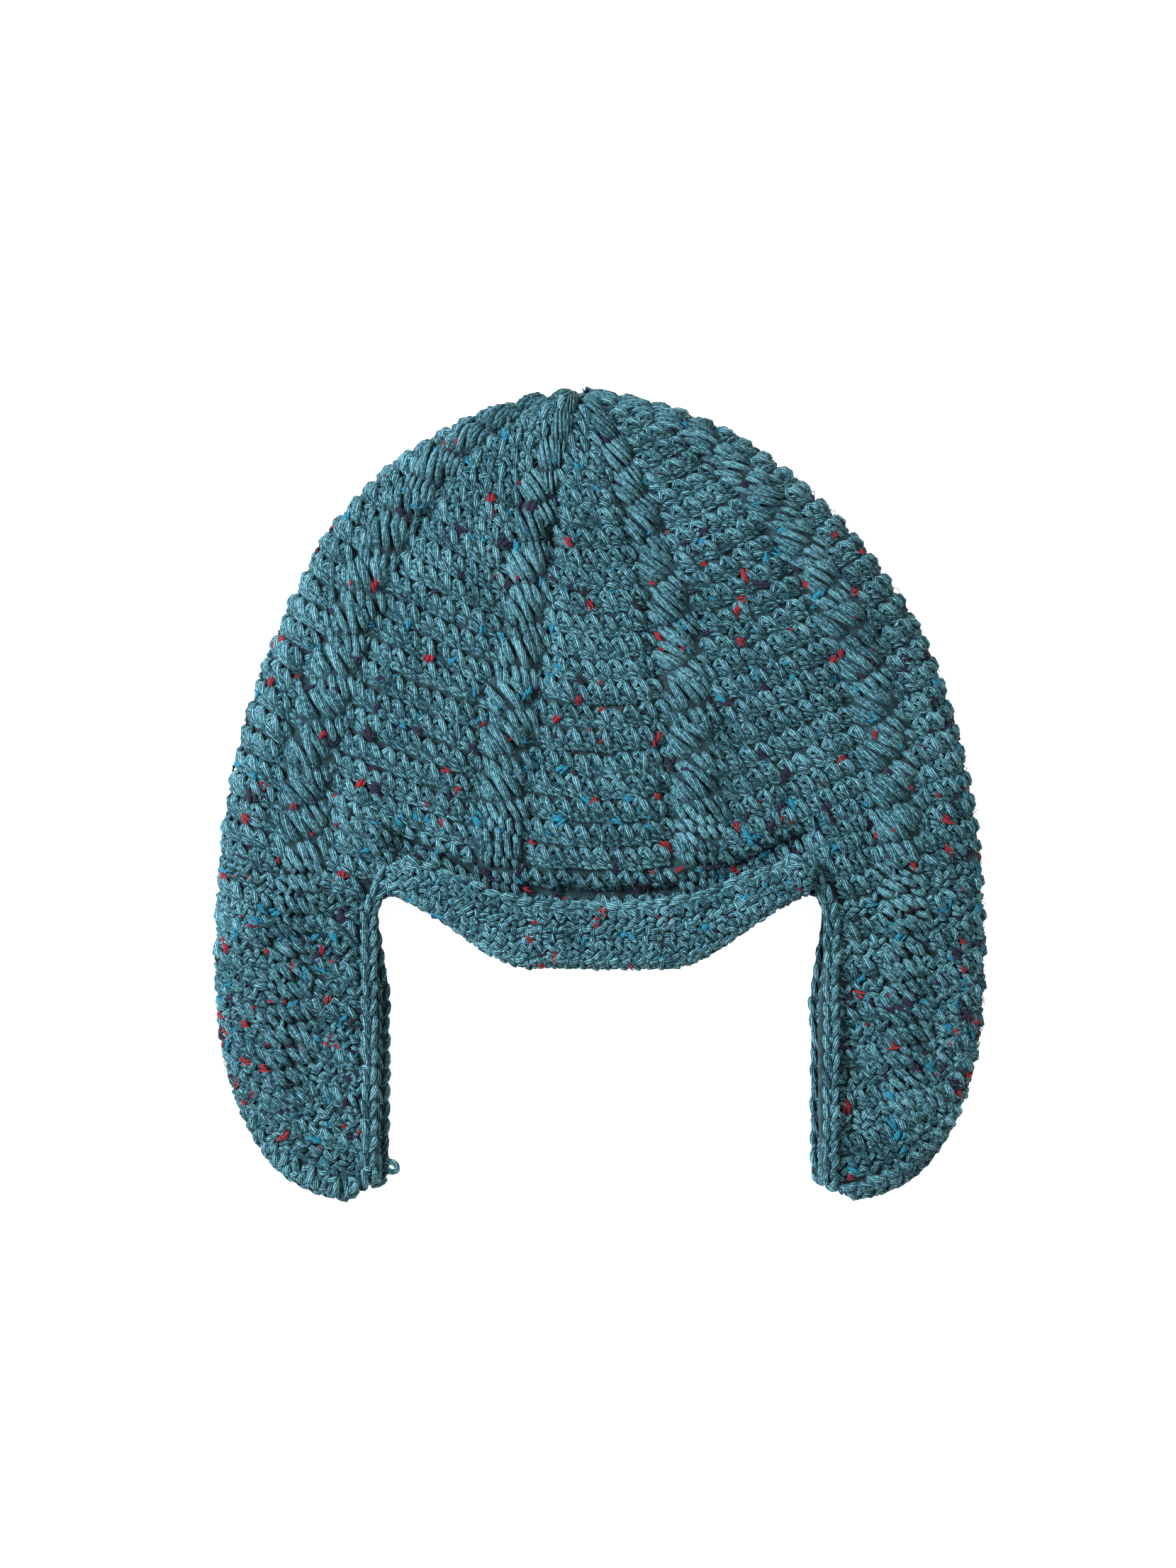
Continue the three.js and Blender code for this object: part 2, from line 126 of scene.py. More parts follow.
# how far across the cap a given share of a row's own length reaches, for the back and the front
WALK_ROWS, WALK_COLUMNS = 80, 60
walk_table = []
for is_front in (False, True):
    for down in np.linspace(0, 1, WALK_ROWS + 1):
        across = np.sin(np.linspace(0, math.pi / 2, WALK_COLUMNS + 1))
        x, y = crown_plan(across, np.full(WALK_COLUMNS + 1, down), is_front)
        z = height(x, y, is_front)
        strides = np.sqrt(np.diff(x) ** 2 + np.diff(y) ** 2 + np.diff(z) ** 2)
        walked = np.concatenate([[0], np.cumsum(strides)])
        shares = np.linspace(0, 1, WALK_COLUMNS + 1)
        walk_table.append(np.interp(shares * walked[-1], walked, across) if walked[-1] else shares)
walk_table = np.array(walk_table).reshape(2, WALK_ROWS + 1, WALK_COLUMNS + 1)


def across_at(share, down, front):
    i = np.clip(down * WALK_ROWS, 0, WALK_ROWS - 0.0001)
    j = np.clip(share * WALK_COLUMNS, 0, WALK_COLUMNS - 0.0001)
    i0, j0 = i.astype(int), j.astype(int)
    f = np.asarray(front).astype(int)
    low = mix(walk_table[f, i0, j0], walk_table[f, i0, j0 + 1], j - j0)
    high = mix(walk_table[f, i0 + 1, j0], walk_table[f, i0 + 1, j0 + 1], j - j0)
    return mix(low, high, i - i0)


TOP_SHIFT, TOP_Y = 5.5, 143.0


def crown_place(turn, down):
    turn = (turn + 180) % 360 - 180
    around = np.abs(turn)
    front = around <= 90
    share = np.where(front, around, 180 - around) / 90
    x, y = crown_plan(across_at(share, down, front), down, front)
    x = x * np.sign(turn)
    return np.stack([x - TOP_SHIFT * ease((y - 50) / 75), y, height(x, y, front)], -1)


FLAP_INNER_FRONT, FLAP_INNER_BACK = 79.5, 76.0


def flap_place(turn, low):
    around = np.abs(turn)
    front = around <= 90
    ones = np.ones_like(around)
    across = across_at(np.where(front, around, 180 - around) / 90, ones, front)
    start = across_at(ones * FLAP_START / 90, ones, front)
    w = np.clip((across - start) / (1 - start), 0, 1)
    top = np.stack(crown_plan(across, ones, front), -1)
    corner = np.stack(crown_plan(start, ones, front), -1)
    tip, heel = SIDE_LENGTH - 1.5, 322.0
    inner = mix(corner, outline(tip) + 0 * corner, low[..., None])
    straight = ease(low * 3) * (1 - ease((low - 0.93) / 0.07))
    inner[..., 0] = mix(inner[..., 0], np.where(front, FLAP_INNER_FRONT, FLAP_INNER_BACK), straight)
    w, low = w[..., None], low[..., None]
    outer, foot = outline(mix(CROWN_LENGTH, heel, low[..., 0])), outline(mix(tip, heel, w[..., 0]))
    corners = mix(mix(corner, outline(CROWN_LENGTH), w), mix(outline(tip), outline(heel), w), low)
    plan = mix(top, foot, low) + mix(inner, outer, w) - corners
    x, y = plan[..., 0] * np.sign(turn), plan[..., 1]
    return np.stack([x, y, height(x, y, front)], -1)


def cable_half(length):
    """Half width of a cable, in degrees of turn."""
    return 1.42 * STITCH_TURN * (1 + 0.45 * (1 - np.minimum(length / CROWN_LENGTH, 1)))


def off_cable(turn):
    """Degrees of turn from the middle of the nearest cable."""
    return (turn + 360) % CABLE_TURN - CABLE_TURN / 2


INNER_VALLEY, OUTER_VALLEY, BROW_DIP = 3.3, 1.7, 8.0


def sunk(turn, length):
    """The cloth sinks in a valley along both sides of each cable, and above the turned-up brow."""
    off = off_cable(turn)
    uneven = 0.8 + 0.25 * np.sin(length / 9 + turn / 30)
    deep = np.where(off * turn < 0, INNER_VALLEY, OUTER_VALLEY) * uneven * ease(length / 70)
    deep = deep * (1 - 0.85 * ease((length - 205) / 35))
    valley = deep * np.exp(-((np.abs(off) - cable_half(length) - 0.6) / 3.3) ** 2)
    brow = BROW_DIP * ease((length - 192) / 13) * (1 - ease((length - 210) / 12))
    brow = brow * (1 - ease((np.abs(turn) - 44) / 8))
    return np.where(np.abs((turn + 180) % 360 - 180) < 90, np.maximum(valley, brow), 0.25 * valley)


def laid(turn, length):
    """The cap's outer surface before its small valleys."""
    turn, length = np.broadcast_arrays(np.asarray(turn, float), np.asarray(length, float))
    on_crown = crown_place(turn, np.clip(length / CROWN_LENGTH, 0, 1))
    around = np.clip(np.abs(turn), FLAP_START, 180 - FLAP_START) * np.where(turn < 0, -1, 1)
    on_flap = flap_place(around, np.clip((length - CROWN_LENGTH) / FLAP_LENGTH, 0, 1))
    return np.where((length > CROWN_LENGTH)[..., None], on_flap, on_crown)


def cloth(turn, length):
    """The outer surface with its valleys, which fade out towards the fold along each side."""
    turn, length = np.broadcast_arrays(np.asarray(turn, float), np.asarray(length, float))
    placed = laid(turn, length)
    away_from_fold = ease(np.abs(placed[..., 2] - FOLD_HEIGHT) / 8)
    inwards = np.where(placed[..., 2] > FOLD_HEIGHT, 1, -1)
    placed[..., 2] -= sunk(turn, length) * away_from_fold * inwards
    return placed


def unit(v):
    return v / np.maximum(np.linalg.norm(v, axis=-1, keepdims=True), 1e-9)


def lie(place, turn, length, step=1.2):
    """Point on the cloth, and its unit directions: right along the row, down the column, outwards."""
    point = place(turn, length)
    right = unit(place(turn + step, length) - place(turn - step, length))
    down = unit(place(turn, length + 2) - place(turn, np.maximum(length - 2, 0.01)))
    out = unit(np.cross(down, right))
    return point, unit(np.cross(out, down)), down, out


def linear(hex_colour):
    parts = [int(hex_colour[k:k + 2], 16) / 255 for k in (1, 3, 5)]
    return [c / 12.92 if c <= 0.04045 else ((c + 0.055) / 1.055) ** 2.4 for c in parts] + [1]


def add(tree, kind, settings=(), values=(), feeds=()):
    made = tree.nodes.new(kind)
    for name, value in dict(settings).items():
        setattr(made, name, value)
    for name, value in dict(values).items():
        made.inputs[name].default_value = value
    for name, source in dict(feeds).items():
        tree.links.new(source, made.inputs[name])
    return made


def wool(name, painted_groove_shade, body, light, ply, tilt):
    """Wool tweed yarn: soft parallel plies with dark lines between them, matte, with a faint halo of fibre.
    The dark lines are painted shade, standing for the shade in the grooves between the plies, laid over
    their real bump. ply is the spacing of the plies in mm and tilt their slant across the strand. The real
    plies lie 0.6 mm apart, too fine to show, and are drawn as coarse as they need to be."""
    material = bpy.data.materials.new(name)
    material.use_nodes = True
    tree = material.node_tree
    shader = tree.nodes["Principled BSDF"]
    shader.inputs["Roughness"].default_value = 0.9
    shader.inputs["Specular IOR Level"].default_value = 0.2
    shader.inputs["Sheen Weight"].default_value = 0.12
    shader.inputs["Sheen Roughness"].default_value = 0.4
    shader.inputs["Sheen Tint"].default_value = linear(light)
    # the first yarn coordinate runs round the strand and the second along it, both in mm
    strand = add(tree, "ShaderNodeUVMap", {"uv_map": "strand"})
    split = add(tree, "ShaderNodeSeparateXYZ", feeds={"Vector": strand.outputs[0]})
    at = add(tree, "ShaderNodeTexCoord").outputs["Object"]
    wander = add(tree, "ShaderNodeTexNoise", values={"Scale": 420, "Detail": 2}, feeds={"Vector": at})
    slant = add(tree, "ShaderNodeMath", {"operation": "MULTIPLY"}, {1: tilt}, {0: split.outputs["Y"]})
    across = add(tree, "ShaderNodeMath", {"operation": "ADD"},
                 feeds={0: split.outputs["X"], 1: slant.outputs[0]})
    bent = add(tree, "ShaderNodeMath", {"operation": "MULTIPLY_ADD"}, {1: 0.7},
               {0: wander.outputs["Fac"], 2: across.outputs[0]})
    counted = add(tree, "ShaderNodeMath", {"operation": "DIVIDE"}, {1: ply}, {0: bent.outputs[0]})
    one_ply = add(tree, "ShaderNodeMath", {"operation": "FLOOR"}, feeds={0: counted.outputs[0]})
    own = add(tree, "ShaderNodeTexWhiteNoise", {"noise_dimensions": "1D"}, feeds={"W": one_ply.outputs[0]})
    within = add(tree, "ShaderNodeMath", {"operation": "PINGPONG"}, {1: 0.5}, {0: counted.outputs[0]})
    plies = add(tree, "ShaderNodeMapRange", {"interpolation_type": "SMOOTHSTEP"},
                {"From Min": 0.0, "From Max": 0.3}, {"Value": within.outputs[0]})
    # streaks: fibres that run along the strand for a few millimetres and are under a millimetre wide
    drawn = add(tree, "ShaderNodeMapping", values={"Scale": (1.5, 0.35, 1)},
                feeds={"Vector": strand.outputs[0]})
    streak = add(tree, "ShaderNodeTexNoise", values={"Scale": 1.0, "Detail": 3, "Roughness": 0.6},
                 feeds={"Vector": drawn.outputs[0]})
    # heathered tone: each stitch takes a tone of its own, and fine fibres of it run lighter and darker
    tone = add(tree, "ShaderNodeAttribute", {"attribute_name": "tone"})
    fibre = add(tree, "ShaderNodeTexNoise", values={"Scale": 900, "Detail": 3}, feeds={"Vector": at})
    heather = add(tree, "ShaderNodeTexNoise", values={"Scale": 30, "Detail": 1}, feeds={"Vector": at})
    lines = add(tree, "ShaderNodeMath", {"operation": "MULTIPLY"},
                feeds={0: plies.outputs[0], 1: fibre.outputs["Fac"]})
    total = tone.outputs["Fac"]
    for part, weight in ((lines.outputs[0], 0.6), (own.outputs["Value"], 0.14),
                         (streak.outputs["Fac"], 0.25), (fibre.outputs["Fac"], 0.14),
                         (heather.outputs["Fac"], 0.16)):
        summed = add(tree, "ShaderNodeMath", {"operation": "MULTIPLY_ADD"}, {1: weight},
                     {0: part, 2: total})
        total = summed.outputs[0]
    ramp = add(tree, "ShaderNodeValToRGB", feeds={"Fac": total})
    # the darkest colour of the ramp is painted shade: the dark lines between the plies stand for the shade
    # in the grooves between them
    ramp.color_ramp.elements[0].position, ramp.color_ramp.elements[0].color = 0.45, linear(painted_groove_shade)
    ramp.color_ramp.elements[1].position, ramp.color_ramp.elements[1].color = 1.0, linear(light)
    ramp.color_ramp.elements.new(0.75).color = linear(body)
    tree.links.new(ramp.outputs[0], shader.inputs["Base Color"])
    relief = add(tree, "ShaderNodeBump", values={"Strength": 0.8, "Distance": 0.0003},
                 feeds={"Height": plies.outputs[0]})
    hair = add(tree, "ShaderNodeBump", values={"Strength": 0.35, "Distance": 0.0003},
               feeds={"Height": fibre.outputs["Fac"], "Normal": relief.outputs[0]})
    tree.links.new(hair.outputs[0], shader.inputs["Normal"])
    return material


# 05141a is painted shade for the grooves between the plies
teal_wool = wool("teal_wool_tweed_yarn", "#05141a", "#1f4753", "#6da0ae", 1.05, 0.6)

# the fabric behind the stitches, in painted shade: the same yarn coloured far darker than the stitches, to
# stand for the deep shade in the gaps between them, with no strand to be made out
shaded_wool = bpy.data.materials.new("teal_wool_backing_painted_shade")
shaded_wool.use_nodes = True
shaded_tree = shaded_wool.node_tree
shaded_shader = shaded_tree.nodes["Principled BSDF"]
shaded_shader.inputs["Roughness"].default_value = 0.95
shaded_at = add(shaded_tree, "ShaderNodeTexCoord").outputs["Object"]
lumps = add(shaded_tree, "ShaderNodeTexNoise", values={"Scale": 330, "Detail": 4},
            feeds={"Vector": shaded_at})
shades = add(shaded_tree, "ShaderNodeValToRGB", feeds={"Fac": lumps.outputs["Fac"]})
# both colours are painted shade, darker than the yarn's own colour
shades.color_ramp.elements[0].position, shades.color_ramp.elements[0].color = 0.35, linear("#071a20")
shades.color_ramp.elements[1].position, shades.color_ramp.elements[1].color = 0.7, linear("#1b3f4a")
shaded_tree.links.new(shades.outputs[0], shaded_shader.inputs["Base Color"])
lumpy = add(shaded_tree, "ShaderNodeBump", values={"Strength": 1.0, "Distance": 0.0012},
            feeds={"Height": lumps.outputs["Fac"]})
shaded_tree.links.new(lumpy.outputs[0], shaded_shader.inputs["Normal"])


def backing(name, columns, rows, place, thick, node):
    """A layer of fabric: a flat grid is laid on the form, its meeting edges are joined and it is
    given a thickness."""
    bpy.ops.mesh.primitive_grid_add(x_subdivisions=columns, y_subdivisions=rows, size=2)
    piece = bpy.context.object
    piece.name = piece.data.name = name
    flat = np.zeros(len(piece.data.vertices) * 3)
    piece.data.vertices.foreach_get("co", flat)
    flat = flat.reshape(-1, 3)
    points = place((flat[:, 0] + 1) / 2, (1 - flat[:, 1]) / 2)
    piece.data.vertices.foreach_set("co", (points / 1000).ravel())
    piece.data.uv_layers[0].name = "strand"
    loops = np.zeros(len(piece.data.loops) * 2)
    piece.data.uv_layers[0].data.foreach_get("uv", loops)
    piece.data.uv_layers[0].data.foreach_set("uv", (loops.reshape(-1, 2) * [260, 120]).ravel())
    bpy.ops.object.mode_set(mode="EDIT")
    bpy.ops.mesh.select_all(action="SELECT")
    bpy.ops.mesh.remove_doubles(threshold=0.00002)
    bpy.ops.mesh.normals_make_consistent(inside=False)
    bpy.ops.object.mode_set(mode="OBJECT")
    bpy.ops.object.shade_smooth()
    solid = piece.modifiers.new("thickness", "SOLIDIFY")
    solid.thickness, solid.offset = thick / 1000, -1
    bpy.ops.object.modifier_apply(modifier="thickness")
    # every backing takes the painted-shade material
    piece.data.materials.append(shaded_wool)
    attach(piece, "root")
    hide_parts(node)
    piece.select_set(False)
    return piece


BACKING_THICKNESS, BROW_CUT, NAPE_CUT = 2.9, 6, 2


def crown_backing(u, v):
    """The crown's fabric ends short of the hem under the roll of the brow and at the nape. It has
    a ridge for each row and a swell under each cable."""
    turn = mix(-180, 180, u)
    around = np.abs(turn)
    cut = BROW_CUT * (1 - ease((around - 47.5) / 2.5)) + NAPE_CUT * ease((around - 131) / 3)
    hem = 1 - cut / CROWN_LENGTH
    length = v * hem * CROWN_LENGTH
    point, _, _, out = lie(cloth, turn, np.maximum(length, 0.5))
    out = np.where(length[:, None] < 0.5, [0, 1, 0], out)
    point = np.where(length[:, None] < 0.5, [-TOP_SHIFT, TOP_Y, FOLD_HEIGHT], point)
    ridge = -0.8 * np.cos(2 * np.pi * length / ROW)
    swell = 1.3 * np.clip(1 - (np.abs(off_cable(turn)) / 7) ** 4, 0, 1)
    return point + out * (ridge + swell - 1.3)[:, None]


crown = backing("crown_backing", 208, 110, crown_backing, BACKING_THICKNESS, "crown")

# Plain stitches of the crown: half trebles in the same yarn, nine between one cable and the next
# at the hem and fewer towards the top. Each shows a long leg leaning to the right, a short one
# leaning left, and the yarn wrapped in bars below them.
SPACING, STITCH_BASE = 5.4, -1.6
HALF_TREBLE = [
    (-1.6, -4.7, 2.9, 1.7, 2.5, 1.4, 0.3),
    (-1.2, -4.7, -3.2, -1.2, 1.7, 1.1, 0.0),
    (-4.0, -1.5, 1.3, 0.5, 1.2, 0.95, 0.4),
    (-3.7, 0.5, 2.0, 2.4, 1.3, 1.0, 0.4),
    (-3.3, 2.3, 2.8, 3.5, 0.6, 0.85, 0.3),
    (1.3, 1.3, 3.7, 3.7, 0.9, 0.9, 0.2),
]


def spindle(segments, rings):
    """A plain spindle of yarn: points, faces and yarn coordinates, seen as from the cloth's side."""
    bpy.ops.mesh.primitive_uv_sphere_add(segments=segments, ring_count=rings, radius=1)
    ball = bpy.context.object
    points = np.array([v.co[:] for v in ball.data.vertices])
    corners = np.array([loop.vertex_index for loop in ball.data.loops])
    starts = np.array([face.loop_start for face in ball.data.polygons])
    strand = np.array([entry.uv[:] for entry in ball.data.uv_layers[0].data])
    bpy.data.objects.remove(ball)
    ends = np.append(starts[1:], len(corners))
    turned_over = np.concatenate([np.arange(b - 1, a - 1, -1) for a, b in zip(starts, ends)])
    return points, corners[turned_over], starts, strand[turned_over]


def strands(form, rows, unsure=0.25):
    """Bends a spindle of yarn for each row: from and to (right, down), lift, half width, bow."""
    spun, spun_corners, spun_starts, spun_strand = form
    points, corners, starts, uv, tone = [], [], [], [], []
    for k, (a0, b0, a1, b1, lift, half, bow) in enumerate(rows):
        a0, b0, a1, b1 = np.array([a0, b0, a1, b1]) + rng.uniform(-unsure, unsure, 4)
        half = half * rng.uniform(0.92, 1.1)
        reach = math.hypot(a1 - a0, b1 - b0)
        run_a, run_b = (a1 - a0) / reach, (b1 - b0) / reach
        x, y, z = spun.T
        fuller = np.maximum(1 - z ** 2, 1e-4) ** -0.22
        share = (z + 1) / 2
        aside = x * fuller * half - bow * (1 - z ** 2)
        rise = (lift + 1.2) * (1 - np.abs(z) ** 2.4) - 1.2
        steep = -4.8 * (lift + 1.2) * np.abs(z) ** 1.4 * np.sign(z) / reach
        over = y * fuller * half * 0.92 / np.hypot(1, steep)
        along = reach * share - over * steep
        points.append(np.stack([a0 + run_a * along - run_b * aside,
                                b0 + run_b * along + run_a * aside, rise + over], 1))
        corners.append(spun_corners + k * len(spun))
        starts.append(spun_starts + k * len(spun_corners))
        uv.append(spun_strand * [2 * math.pi * half, reach] + rng.random(2) * 3)
        tone.append(np.full(len(spun), rng.uniform(-0.045, 0.045)))
    return [np.concatenate(part) for part in (points, corners, starts, uv, tone)]


def lay(name, patterns, spots, place, base, tones=(0.15, 0.23), material=teal_wool,
        bends=True):
    """Copies a stitch to every spot: turn, length, width share, height share, and lean in degrees.
    Each copy bends with the cloth it lies on, and is lower and flatter where the cloth stands
    upright."""
    spots = np.array(spots)
    point, right, down, out = lie(place, spots[:, 0], spots[:, 1])
    curls = []
    for dt, dl, way in ((2.0, 0, right), (0, 2.5, down)):
        (p0, _, _, out0), (p1, _, _, out1) = [
            lie(place, spots[:, 0] + k * dt, spots[:, 1] + k * dl) for k in (-1, 1)]
        turned = np.sum((out1 - out0) * way, 1) / np.maximum(np.linalg.norm(p1 - p0, axis=1), 1)
        curls.append(np.clip(turned, -0.03, 0.16) * bends)
    lean = np.radians(spots[:, 4])[:, None]
    right, down = right * np.cos(lean) + down * np.sin(lean), down * np.cos(lean) - right * np.sin(lean)
    pick = rng.integers(len(patterns), size=len(spots))
    points, corners, starts, uv, tone = [], [], [], [], []
    upright = (1 - np.abs(out[:, 2])) ** 2
    base, flatter = base - 1.3 * upright, 1 - 0.4 * upright
    count = loops = 0
    for k, (p, c, s, t, shade) in enumerate(patterns):
        which = np.flatnonzero(pick == k)
        n = len(which)
        if not n:
            continue
        shake = rng.normal(0, 0.05, (n, len(p), 3)) + rng.normal(0, 0.2, (n, 1, 3)) * [1, 1, 0.8]
        local = p[None] * np.stack([spots[which, 2], spots[which, 3], np.ones(n)], 1)[:, None] + shake
        bend = (curls[0][which, None] * local[..., 0] ** 2 + curls[1][which, None] * local[..., 1] ** 2) / 2
        local[..., 2] = local[..., 2] * flatter[which, None] - bend
        placed = (point[which, None] + right[which, None] * local[..., 0:1]
                  + down[which, None] * local[..., 1:2]
                  + out[which, None] * (local[..., 2:3] + base[which, None, None]))
        points.append(placed.reshape(-1, 3))
        corners.append((c[None] + count + np.arange(n)[:, None] * len(p)).ravel())
        starts.append((s[None] + loops + np.arange(n)[:, None] * len(c)).ravel())
        uv.append((t[None] + rng.random((n, 1, 2)) * 5).reshape(-1, 2))
        tone.append((shade[None] + rng.uniform(*tones, n)[:, None]).ravel())
        count += n * len(p)
        loops += n * len(c)
    points, corners, starts, uv, tone = [np.concatenate(part)
                                         for part in (points, corners, starts, uv, tone)]
    # the cap's own weight presses the stitches beneath it flat against the floor
    pressed = 0.2 + np.exp(np.minimum(points[:, 2] - 1.2, 0))
    points[:, 2] = np.where(points[:, 2] < 1.2, pressed, points[:, 2])
    mesh = bpy.data.meshes.new(name)
    mesh.vertices.add(len(points))
    mesh.vertices.foreach_set("co", (points / 1000).astype(np.float32).ravel())
    mesh.loops.add(len(corners))
    mesh.loops.foreach_set("vertex_index", corners.astype(np.int32))
    mesh.polygons.add(len(starts))
    mesh.polygons.foreach_set("loop_start", starts.astype(np.int32))
    mesh.polygons.foreach_set("use_smooth", np.ones(len(starts), bool))
    mesh.uv_layers.new(name="strand").data.foreach_set("uv", uv.astype(np.float32).ravel())
    mesh.attributes.new("tone", "FLOAT", "POINT").data.foreach_set("value", tone.astype(np.float32))
    mesh.update(calc_edges=True)
    mesh.validate()
    mesh.materials.append(material)
    piece = bpy.data.objects.new(name, mesh)
    bpy.context.scene.collection.objects.link(piece)
    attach(piece, "root")
    return piece


def along_row(place, start, end, length, spacing, tall=1.0, lean=5, shift=0.5):
    """Evenly spaced stitches of one row between two turns, measured along the cloth."""
    turns = np.linspace(start, end, 60)
    line = place(turns, np.full(60, length))
    at = np.concatenate([[0], np.cumsum(np.linalg.norm(np.diff(line, axis=0), axis=1))])
    number = int(round(at[-1] / spacing))
    wide = at[-1] / max(number, 1)
    where = np.interp((np.arange(number) + shift) * wide, at, turns)
    return [[turn, length + rng.normal(0, 0.3), min(wide / spacing, 1.25), tall * rng.uniform(0.94, 1.06),
             rng.normal(0, lean)] for turn in where]


yarn_spindle = spindle(6, 5)
plain = [strands(yarn_spindle, HALF_TREBLE) for k in range(6)]
front_spots, back_spots, crown_layers = [], [], []
for row in range(ROWS):
    length = (row + 0.5) * ROW
    half = cable_half(length) * 0.88
    for middle in range(-180, 180, CABLE_TURN):
        start, end = middle - CABLE_TURN / 2 + half, middle + CABLE_TURN / 2 - half
        for spot in along_row(cloth, start, end, length, SPACING, ROW / 8.6, shift=0.5 + 0.2 * (-1) ** row):
            spot[0] = (spot[0] + 180) % 360 - 180
            around = abs(spot[0])
            if around < 48.5 and spot[1] > CROWN_LENGTH - 11:
                continue
            (front_spots if around < 97 else back_spots).append(spot)
front_spots = np.array(front_spots)
for name, low, high in (("left", -100, -30), ("middle", -30, 30), ("right", 30, 100)):
    chosen = front_spots[(front_spots[:, 0] >= low) & (front_spots[:, 0] < high)]
    crown_layers.append(lay("crown_stitches_" + name, plain, chosen, cloth, STITCH_BASE))
crown_layers.append(lay("crown_stitches_back", plain, back_spots, cloth, STITCH_BASE))

# Cables: eight ribs of long post stitches in the same yarn, worked with the crown, that stand out
# from it from the top to the hem. Their strands cross from the upper left to the lower right. Near
# the brow and the nape they run straight, and on the ear flaps they go on in a smaller braid.
CROSSING, BRAID_STEP, STRAIGHT_PART, CABLE_LEAN = 16.4, 8.2, 52, -11
CABLE = [
    (-9.8, -6.2, -3.6, 2.4, 2.1, 1.7, -0.5),
    (-8.8, -9.8, 0.4, 2.2, 2.9, 1.85, -0.6),
    (-4.4, -10.4, 4.8, 2.0, 3.2, 1.95, 0.2),
    (-0.2, -10.2, 8.8, 0.6, 2.9, 1.85, 0.6),
    (4.2, -10.2, 10.2, -1.8, 2.2, 1.55, 0.6),
    (8.4, -10.4, 9.9, -5.0, 1.6, 1.2, 0.6),
    (10.6, 0.8, 8.8, 6.0, 1.6, 1.15, 0.3),
    (-10.2, 1.0, -6.6, 8.6, 2.0, 1.55, 0.5),
    (-6.6, 2.2, -2.2, 10.4, 2.4, 1.7, 0.5),
    (-2.4, 1.2, 1.8, 9.2, 2.6, 1.75, 0.5),
    (1.8, 2.0, 6.0, 10.4, 2.5, 1.7, 0.5),
    (6.0, 0.6, 9.8, 8.6, 2.2, 1.6, 0.5),
    (-8.6, 6.6, -5.0, 10.8, 1.5, 1.2, 0.2),
    (3.2, 8.4, 0.2, 11.4, 1.6, 1.1, 0.0),
]
STRAIGHT_AT = ((-8.2, -2.4), (-8.0, 2.0), (-4.0, -1.6), (-4.2, 2.7), (0.0, -2.6),
               (0.2, 1.9), (4.2, -1.8), (4.0, 2.4), (8.1, -2.2), (8.0, 2.3))
STRAIGHT = [(a - 1.8, b - 3.2, a + 2.0, b + 3.0, 2.6 - 0.012 * a * a, 1.5, 0.4) for a, b in STRAIGHT_AT]
FLAP_BRAID = [
    (-9.2, -4.8, -3.2, 1.6, 2.0, 1.55, 0.4),
    (-5.0, -5.6, 1.8, 0.8, 2.4, 1.65, 0.4),
    (0.0, -5.4, 6.4, 0.6, 2.3, 1.6, 0.4),
    (4.8, -4.8, 9.6, 1.4, 1.9, 1.5, 0.4),
    (-9.6, 0.6, -5.4, 4.8, 1.8, 1.3, 0.3),
    (-5.6, 0.8, -0.6, 4.6, 2.0, 1.4, 0.3),
    (-1.0, 1.2, 4.0, 4.8, 2.0, 1.4, 0.3),
    (3.6, 0.6, 8.8, 4.4, 1.8, 1.3, 0.3),
    (9.4, 0.6, 7.0, 4.4, 1.3, 1.1, 0.0),
    (-2.0, -1.6, -5.2, 2.6, 1.2, 1.2, 0.0),
]
cable_spindle = spindle(7, 6)
crossings = [strands(cable_spindle, CABLE, 1.0) for k in range(8)]
straights = [strands(yarn_spindle, STRAIGHT, 0.5) for k in range(4)]
braids = [strands(yarn_spindle, FLAP_BRAID, 0.6) for k in range(6)]
cable_front, cable_back, cable_hem, cable_flap = [], [], [], []
for cable in range(8):
    turn = -157.5 + CABLE_TURN * cable
    flap = 60 < abs(turn) < 120
    covered = 3 + 5 * rng.random()
    while covered < CROWN_LENGTH + (FLAP_LENGTH - 26 if flap else -9):
        hem = not flap and covered > CROWN_LENGTH - STRAIGHT_PART
        low = covered > CROWN_LENGTH - 12
        step = ROW if hem else BRAID_STEP if low else CROSSING * mix(0.8, 1, ease(covered / 60))
        length = covered + step / 2
        a, b = cloth(np.array([turn - 2.0, turn + 2.0]), np.array([length, length]))
        wide = np.linalg.norm(a - b) / 4 * cable_half(length) / 10.2
        spot = [turn + rng.normal(0, 0.25), length, wide * rng.uniform(0.92, 1.08), 1.0,
                rng.normal(0 if hem else CABLE_LEAN, 5)]
        kind = cable_hem if hem else cable_flap if low else cable_front if abs(turn) < 90 else cable_back
        kind.append(spot)
        covered += step
crown_layers += [
    lay("cables_front", crossings, cable_front, cloth, -1.0, tones=(0.17, 0.25)),
    lay("cables_hem", straights, cable_hem, cloth, -1.0, tones=(0.17, 0.25)),
    lay("cables_back", crossings, cable_back, cloth, -1.2)]
lay("cables_flaps", braids, cable_flap, cloth, -1.1)

# Ear flaps: each goes on from the hem over one ear, worked to and fro, and lies folded in half
# along the side of the cap. A cable runs down each half.
KNOT = [
    (-2.9, -4.2, 0.4, -0.2, 1.8, 1.25, 0.5),
    (2.9, -4.0, 1.0, -0.2, 1.7, 1.2, -0.5),
    (-3.4, -0.6, 1.2, 0.9, 1.6, 1.1, 0.5),
    (3.2, -0.2, 0.4, 3.2, 1.7, 1.2, 0.4),
    (-3.2, 1.4, 0.4, 3.4, 1.5, 1.1, 0.3),
    (-1.6, 3.2, 2.8, 4.9, 1.1, 1.05, 0.2),
]


